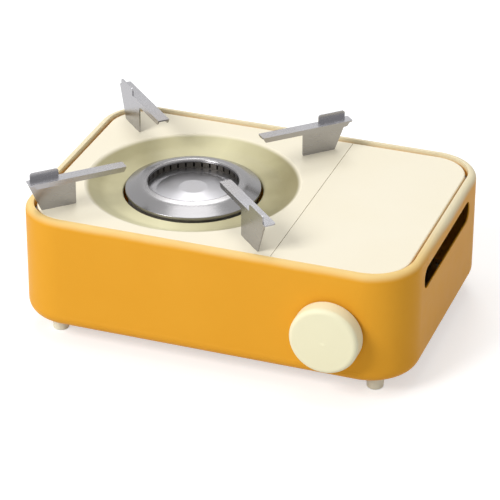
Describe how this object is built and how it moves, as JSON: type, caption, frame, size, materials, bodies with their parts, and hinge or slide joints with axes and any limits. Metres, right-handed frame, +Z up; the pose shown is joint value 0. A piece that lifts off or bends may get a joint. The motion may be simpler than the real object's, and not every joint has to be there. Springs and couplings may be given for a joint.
{
  "type": "cassette gas stove",
  "caption": "Low rounded tabletop gas stove with a dished burner plate, folded pot supports, a hinged cartridge cover and a round front knob.",
  "frame": {"origin": "on the table surface under the middle of the bounding box, which takes in the casing and the knob that stands out of its front", "axes": "+X to the right as the user sees it, along the long side; +Y from the front with the knob to the back; +Z up"},
  "size_m": [0.3, 0.226, 0.1295],
  "materials": {
    "orange_enamel": "smooth glossy orange powder coat",
    "cream_enamel": "smooth satin cream enamel",
    "galvanised": "plain rolled galvanised sheet",
    "support_steel": "folded stainless sheet with a soft sheen",
    "ring_steel": "polished stainless steel",
    "burner_metal": "dull cast and pressed aluminium",
    "brass_parts": "turned brass",
    "pipe_metal": "bent aluminium tube",
    "regulator_cast": "die cast zinc with a machined cap",
    "magnet": "sintered ferrite, matt black",
    "seal_rubber": "black nitrile rubber",
    "foot_rubber": "cream moulded rubber",
    "knob_plastic": "cream satin plastic",
    "dark_plastic": "black moulded plastic",
    "steel_fasteners": "zinc plated steel",
    "ceramic": null,
    "lead_cover": "red silicone covered lead"
  },
  "bodies": {
    "casing": {"base_plate": "galvanised", "base_screws": "steel_fasteners", "body_shell": "orange_enamel", "burner_body": "burner_metal", "burner_dish": "ring_steel", "burner_ring": "ring_steel", "burner_stand": "galvanised", "cartridge_cradle": "galvanised", "coupling_magnet": "magnet", "cover_hinge_pins": "steel_fasteners", "electrode_bracket": "galvanised", "electrode_ceramic": "ceramic", "electrode_wire": "steel_fasteners", "flame_port_ring": "burner_metal", "foot_back_left": "foot_rubber", "foot_back_right": "foot_rubber", "foot_front_left": "foot_rubber", "foot_front_right": "foot_rubber", "foot_nuts": "steel_fasteners", "foot_screws": "steel_fasteners", "gas_jet": "brass_parts", "gas_pipe": "pipe_metal", "heat_shield": "galvanised", "igniter_housing": "dark_plastic", "igniter_lead": "lead_cover", "jet_carrier": "burner_metal", "ledge_frame": "galvanised", "mixing_tube": "burner_metal", "receiver_nozzle": "brass_parts", "receiver_seal": "seal_rubber", "regulator_body": "regulator_cast", "regulator_bracket": "galvanised", "regulator_cap": "regulator_cast", "shaft_bushing": "dark_plastic", "stand_screws": "steel_fasteners"},
    "plate": {"top_plate": "cream_enamel", "pot_support_front_left": "support_steel", "pot_support_front_right": "support_steel", "pot_support_back_left": "support_steel", "pot_support_back_right": "support_steel"},
    "cover": {"cartridge_cover": "cream_enamel"},
    "knob": {"knob": "knob_plastic", "knob_shaft": "steel_fasteners", "igniter_cam": "dark_plastic"},
    "plunger": {"igniter_plunger": "dark_plastic"}
  },
  "joints": [
    {"name": "knob_turn", "type": "hinge", "parent": "casing", "child": "knob", "pos_m": [0.094, -0.097, 0.0515], "axis": [0, -1, 0], "range_deg": [0, 100]},
    {"name": "igniter_press", "type": "slide", "parent": "casing", "child": "plunger", "axis": [-1, 0, 0], "range_m": [0, 0.005]},
    {"name": "cover_hinge", "type": "hinge", "parent": "casing", "child": "cover", "pos_m": [0.0587, 0.008, 0.0958], "axis": [0, -1, 0], "range_deg": [0, 95]},
    {"name": "plate_lift", "type": "slide", "parent": "casing", "child": "plate", "axis": [0, 0, 1], "range_m": [0, 0.05]}
  ],
  "couplings": [
    {"joint": "igniter_press", "follows": "knob_turn", "m_per_rad": 0.0028645}
  ]
}
